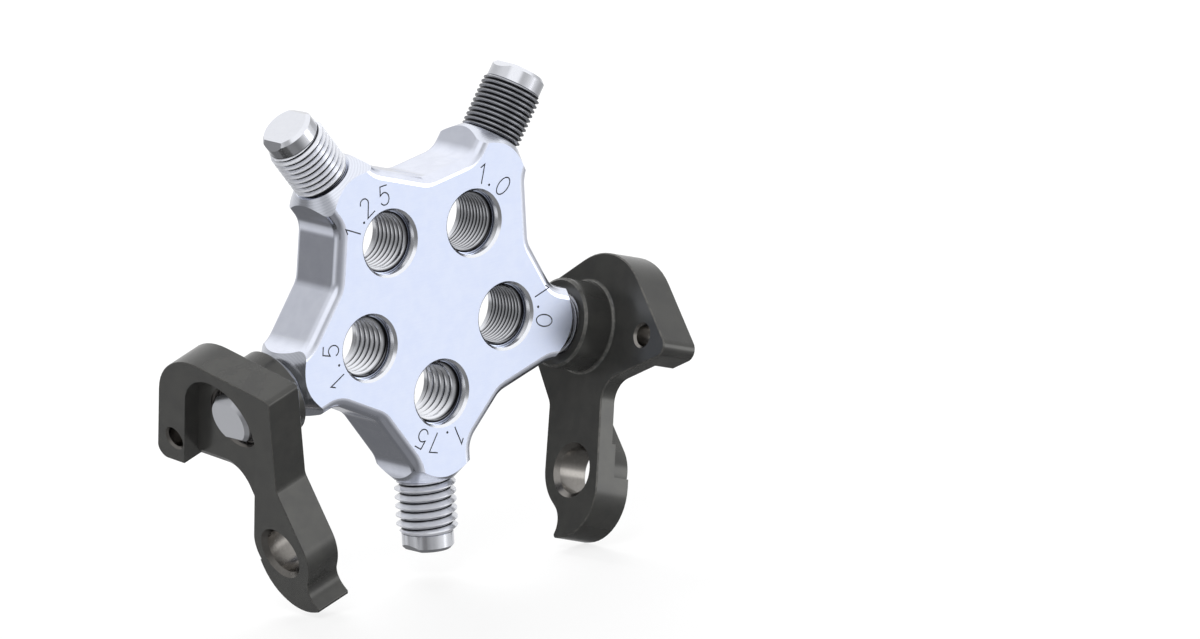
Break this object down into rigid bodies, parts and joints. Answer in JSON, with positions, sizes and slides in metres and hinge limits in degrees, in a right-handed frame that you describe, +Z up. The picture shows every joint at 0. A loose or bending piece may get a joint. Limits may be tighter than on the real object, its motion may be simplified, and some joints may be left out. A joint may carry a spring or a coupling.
{
  "type": "thread checker gauge",
  "caption": "Star-shaped thread gauge with a threaded stud on each arm, a tapped hole behind each stud, and derailleur hangers screwed onto two of the studs.",
  "frame": {"origin": "middle of the star's back face, where the axis of the circle of tapped holes meets it", "axes": "-Y out of the front face with the pitch numbers, +Z up the star between the two upper arms, +X to the right as the front is seen"},
  "size_m": [0.1066, 0.048, 0.0973],
  "materials": {
    "star_steel": "fine satin face, polished walls and rounded edges",
    "stud_steel": "bright turned",
    "hanger_black": "black anodised, satin"
  },
  "bodies": {
    "gauge": {"star_body": "star_steel", "stud_1_0": "stud_steel", "stud_1_25": "stud_steel", "stud_1_5": "stud_steel", "stud_1_75": "stud_steel", "stud_1_0_double": "stud_steel"},
    "left_hanger": {"hanger_left": "hanger_black"},
    "right_hanger": {"hanger_right": "hanger_black"}
  },
  "joints": [
    {"name": "left_hanger_unscrew", "type": "slide", "parent": "gauge", "child": "left_hanger", "axis": [-0.9511, 0, -0.309], "range_m": [-0.001, 0.0135]},
    {"name": "right_hanger_unscrew", "type": "slide", "parent": "gauge", "child": "right_hanger", "axis": [0.9511, 0, -0.309], "range_m": [-0.001, 0.014]}
  ]
}
